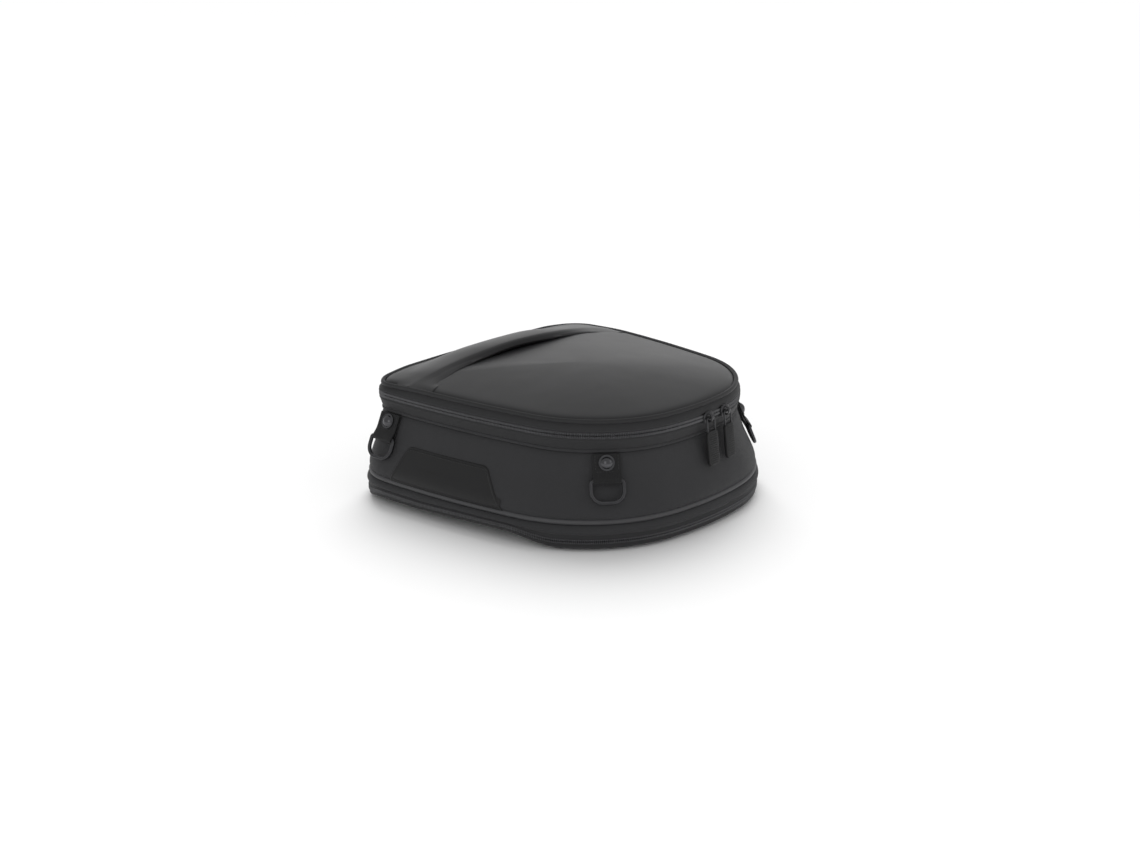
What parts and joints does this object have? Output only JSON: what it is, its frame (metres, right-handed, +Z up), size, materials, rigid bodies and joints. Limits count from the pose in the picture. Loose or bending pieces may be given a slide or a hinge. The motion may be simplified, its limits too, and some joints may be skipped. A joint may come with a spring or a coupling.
{
  "type": "tail bag",
  "caption": "Soft motorcycle tail bag with a zipped lid, carrying handle, expansion zip, D-rings on webbing loops and a flat anti-slip base.",
  "frame": {"origin": "on the ground at the middle of the bag's plan", "axes": "+Z up, +Y towards the rider (lid hinge side), -Y to the zip pulls, X across the bag"},
  "size_m": [0.324, 0.3065, 0.126],
  "materials": {
    "lid_fabric": "smooth coated fabric, satin",
    "body_fabric": "fine ballistic weave, matte",
    "lining": "plain grey nylon lining",
    "gusset_fabric": "folded black nylon",
    "zip_tape": "ribbed zip tape, matte",
    "webbing": "woven strap",
    "pull_tab": "woven tab, matte",
    "piping": "satin dark grey cord piping",
    "dark_piping": "covered cord piping",
    "moulded_patch": "smooth moulded patch, satin",
    "anti_slip_base": "textured anti-slip base",
    "stiffener_board": "rigid board",
    "zip_teeth": "coil zip teeth",
    "zip_metal": "black lacquered zip hardware",
    "ring_metal": "gunmetal, satin",
    "rivet_metal": "polished gunmetal cap"
  },
  "bodies": {
    "base": {"base_pan": "anti_slip_base", "floor_board": "stiffener_board", "expansion_gusset": "gusset_fabric", "expansion_tape_lower": "zip_tape", "expansion_teeth_lower": "zip_teeth"},
    "body": {"expansion_tape_upper": "zip_tape", "expansion_teeth_upper": "zip_teeth", "lower_band": "body_fabric", "base_piping": "piping", "body_wall": "body_fabric", "wall_lining": "lining", "top_piping": "dark_piping", "side_patch_left": "moulded_patch", "side_patch_right": "moulded_patch", "ring_webbing_rear_left": "webbing", "ring_webbing_rear_right": "webbing", "ring_webbing_front_left": "webbing", "ring_webbing_front_right": "webbing", "rivets": "rivet_metal", "main_tape_lower": "zip_tape", "main_teeth_lower": "zip_teeth", "hinge_strip": "zip_tape"},
    "lid": {"main_tape_upper": "zip_tape", "main_teeth_upper": "zip_teeth", "lid_panel": "lid_fabric", "lid_lining": "lining", "lid_piping": "dark_piping", "handle": "lid_fabric"},
    "main_slider_left": {"main_slider_left": "zip_metal"},
    "main_slider_right": {"main_slider_right": "zip_metal"},
    "pull_left": {"pull_wire_left": "zip_metal", "pull_tab_left": "pull_tab"},
    "pull_right": {"pull_wire_right": "zip_metal", "pull_tab_right": "pull_tab"},
    "expansion_slider": {"expansion_slider": "zip_metal"},
    "expansion_pull": {"expansion_pull": "zip_metal"},
    "d_ring_rear_left": {"d_ring_rear_left": "ring_metal"},
    "d_ring_rear_right": {"d_ring_rear_right": "ring_metal"},
    "d_ring_front_left": {"d_ring_front_left": "ring_metal"},
    "d_ring_front_right": {"d_ring_front_right": "ring_metal"}
  },
  "joints": [
    {"name": "expand", "type": "slide", "parent": "base", "child": "body", "axis": [0, 0, 1], "range_m": [0, 0.075], "deforming": ["expansion_gusset"]},
    {"name": "lid_hinge", "type": "hinge", "parent": "body", "child": "lid", "pos_m": [0, 0.14345, 0.0973], "axis": [-1, 0, 0], "range_deg": [0, 105], "deforming": ["hinge_strip"]},
    {"name": "main_slider_left_travel", "type": "hinge", "parent": "body", "child": "main_slider_left", "pos_m": [0, 0.1007, 0.0973], "axis": [0, 0, 1], "range_deg": [-12, 0]},
    {"name": "main_slider_right_travel", "type": "hinge", "parent": "body", "child": "main_slider_right", "pos_m": [0.02124, -0.03343, 0.0973], "axis": [0, 0, 1], "range_deg": [0, 26]},
    {"name": "pull_left_swing", "type": "hinge", "parent": "main_slider_left", "child": "pull_left", "pos_m": [0.00642, -0.14432, 0.0973], "axis": [-0.9997, -0.0262, 0], "range_deg": [0, 150]},
    {"name": "pull_right_swing", "type": "hinge", "parent": "main_slider_right", "child": "pull_right", "pos_m": [0.03284, -0.14219, 0.0973], "axis": [-0.991, -0.134, 0], "range_deg": [0, 150]},
    {"name": "expansion_slider_travel", "type": "hinge", "parent": "base", "child": "expansion_slider", "pos_m": [0.10802, 0.09465, 0.0092], "axis": [0, 0, 1], "range_deg": [-38, 34]},
    {"name": "expansion_pull_swing", "type": "hinge", "parent": "expansion_slider", "child": "expansion_pull", "pos_m": [0.14783, 0.13446, 0.0092], "axis": [0.7071, -0.7071, 0], "range_deg": [0, 85]},
    {"name": "d_ring_rear_left_swing", "type": "hinge", "parent": "body", "child": "d_ring_rear_left", "pos_m": [-0.09881, -0.11736, 0.06046], "axis": [-0.7431, 0.6691, 0], "range_deg": [0, 150]},
    {"name": "d_ring_rear_right_swing", "type": "hinge", "parent": "body", "child": "d_ring_rear_right", "pos_m": [0.10735, -0.10903, 0.06057], "axis": [-0.6691, -0.7431, 0], "range_deg": [0, 150]},
    {"name": "d_ring_front_left_swing", "type": "hinge", "parent": "body", "child": "d_ring_front_left", "pos_m": [-0.15108, 0.1062, 0.06137], "axis": [-0.0105, 0.9999, 0], "range_deg": [0, 150]},
    {"name": "d_ring_front_right_swing", "type": "hinge", "parent": "body", "child": "d_ring_front_right", "pos_m": [0.15108, 0.1062, 0.06137], "axis": [-0.0105, -0.9999, 0], "range_deg": [0, 150]}
  ]
}
